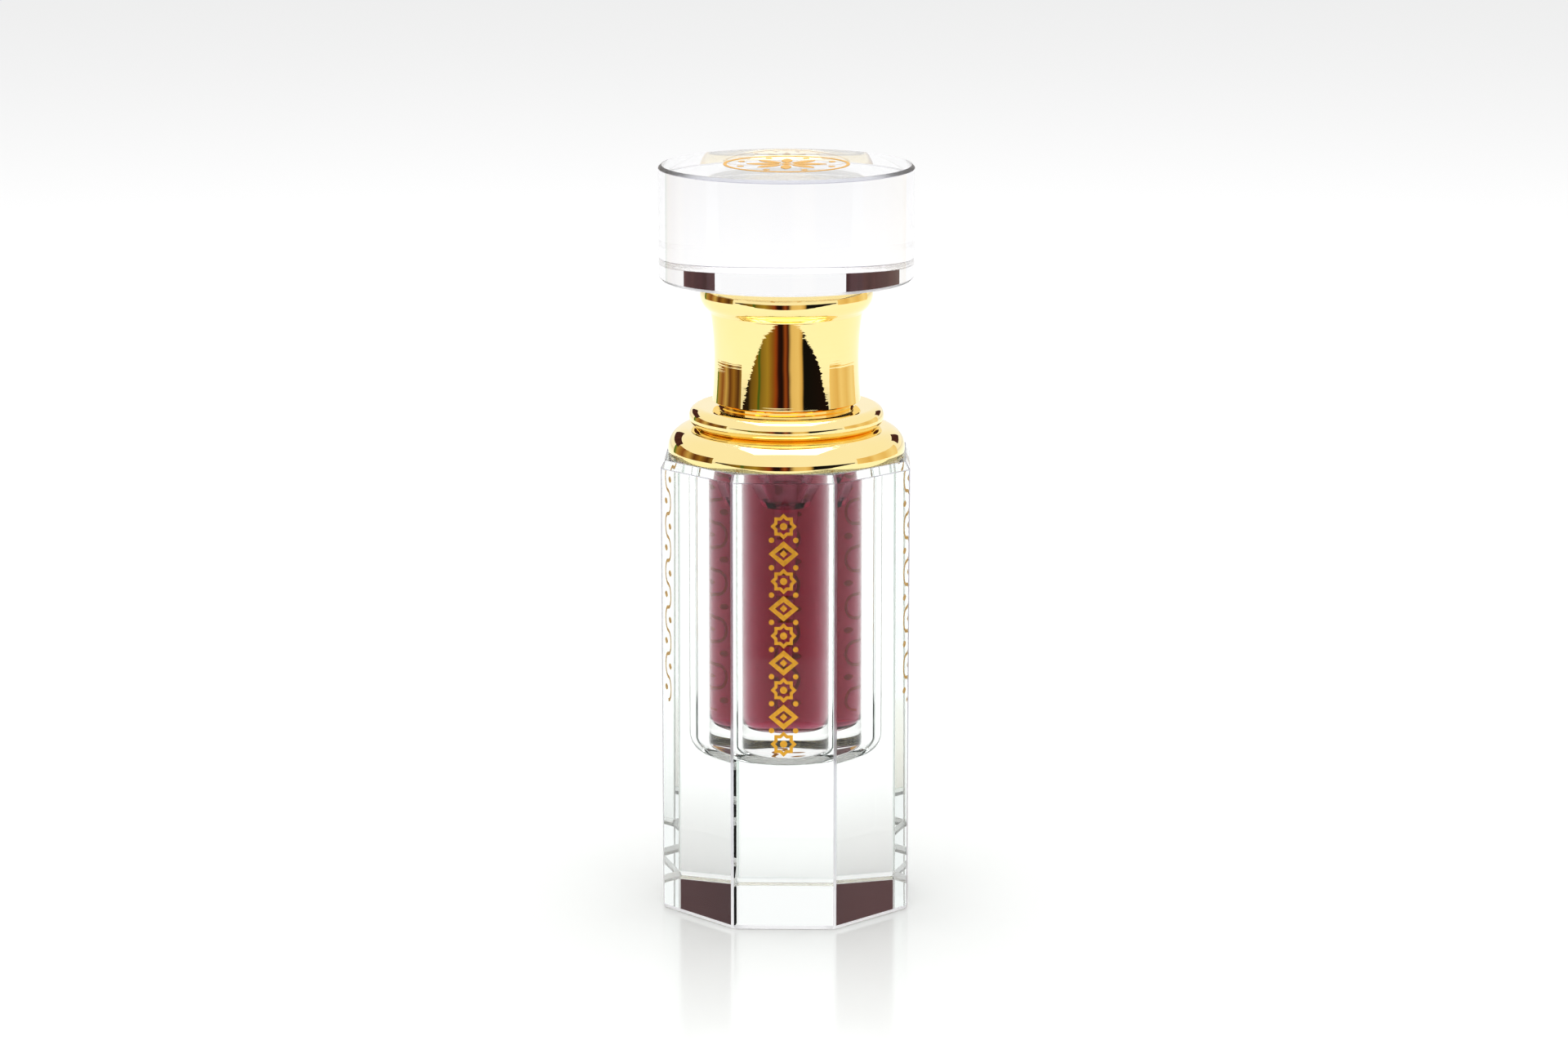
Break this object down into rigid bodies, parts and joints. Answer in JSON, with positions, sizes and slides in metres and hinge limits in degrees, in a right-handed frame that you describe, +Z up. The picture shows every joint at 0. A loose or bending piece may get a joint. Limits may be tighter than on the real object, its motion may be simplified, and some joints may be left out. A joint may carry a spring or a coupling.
{
  "type": "perfume oil bottle",
  "caption": "Octagonal clear bottle for perfume oil with a glass vial inside, a gold beaded collar and a gold screw cap that carries a dip rod and a clear round knob.",
  "frame": {"origin": "centre of the base, on the surface it stands on", "axes": "+Z up along the bottle's axis, -Y towards the front face"},
  "size_m": [0.0308, 0.0308, 0.0912],
  "materials": {
    "clear_block": "polished clear acrylic",
    "clear_knob": "polished clear acrylic",
    "vial_glass": "clear glass",
    "perfume_oil": "clear dark red liquid",
    "polished_gold": "mirror polished gold plating",
    "gold_foil": "hot stamped gold foil",
    "white_plastic": "moulded white plastic",
    "milky_plastic": "milky soft plastic",
    "adhesive": "clear cured adhesive"
  },
  "bodies": {
    "bottle": {"outer_block": "clear_block", "inner_vial": "vial_glass", "vial_bond": "adhesive", "perfume_oil": "perfume_oil", "wiper_plug": "milky_plastic", "shoulder_collar": "polished_gold", "collar_insert": "white_plastic", "front_gilding": "gold_foil", "rear_gilding": "gold_foil"},
    "applicator": {"dip_rod": "vial_glass", "rod_holder": "milky_plastic"},
    "cap": {"cap_shell": "polished_gold", "inner_cap": "white_plastic", "cap_liner": "milky_plastic", "knob_bond": "adhesive", "clear_knob": "clear_knob", "knob_gilding": "gold_foil"}
  },
  "joints": [
    {"name": "cap_lift", "type": "slide", "parent": "bottle", "child": "applicator", "axis": [0, 0, 1], "range_m": [0, 0.055]},
    {"name": "cap_turn", "type": "hinge", "parent": "applicator", "child": "cap", "pos_m": [0, 0, 0.07], "axis": [0, 0, 1], "range_deg": [0, 450]}
  ]
}
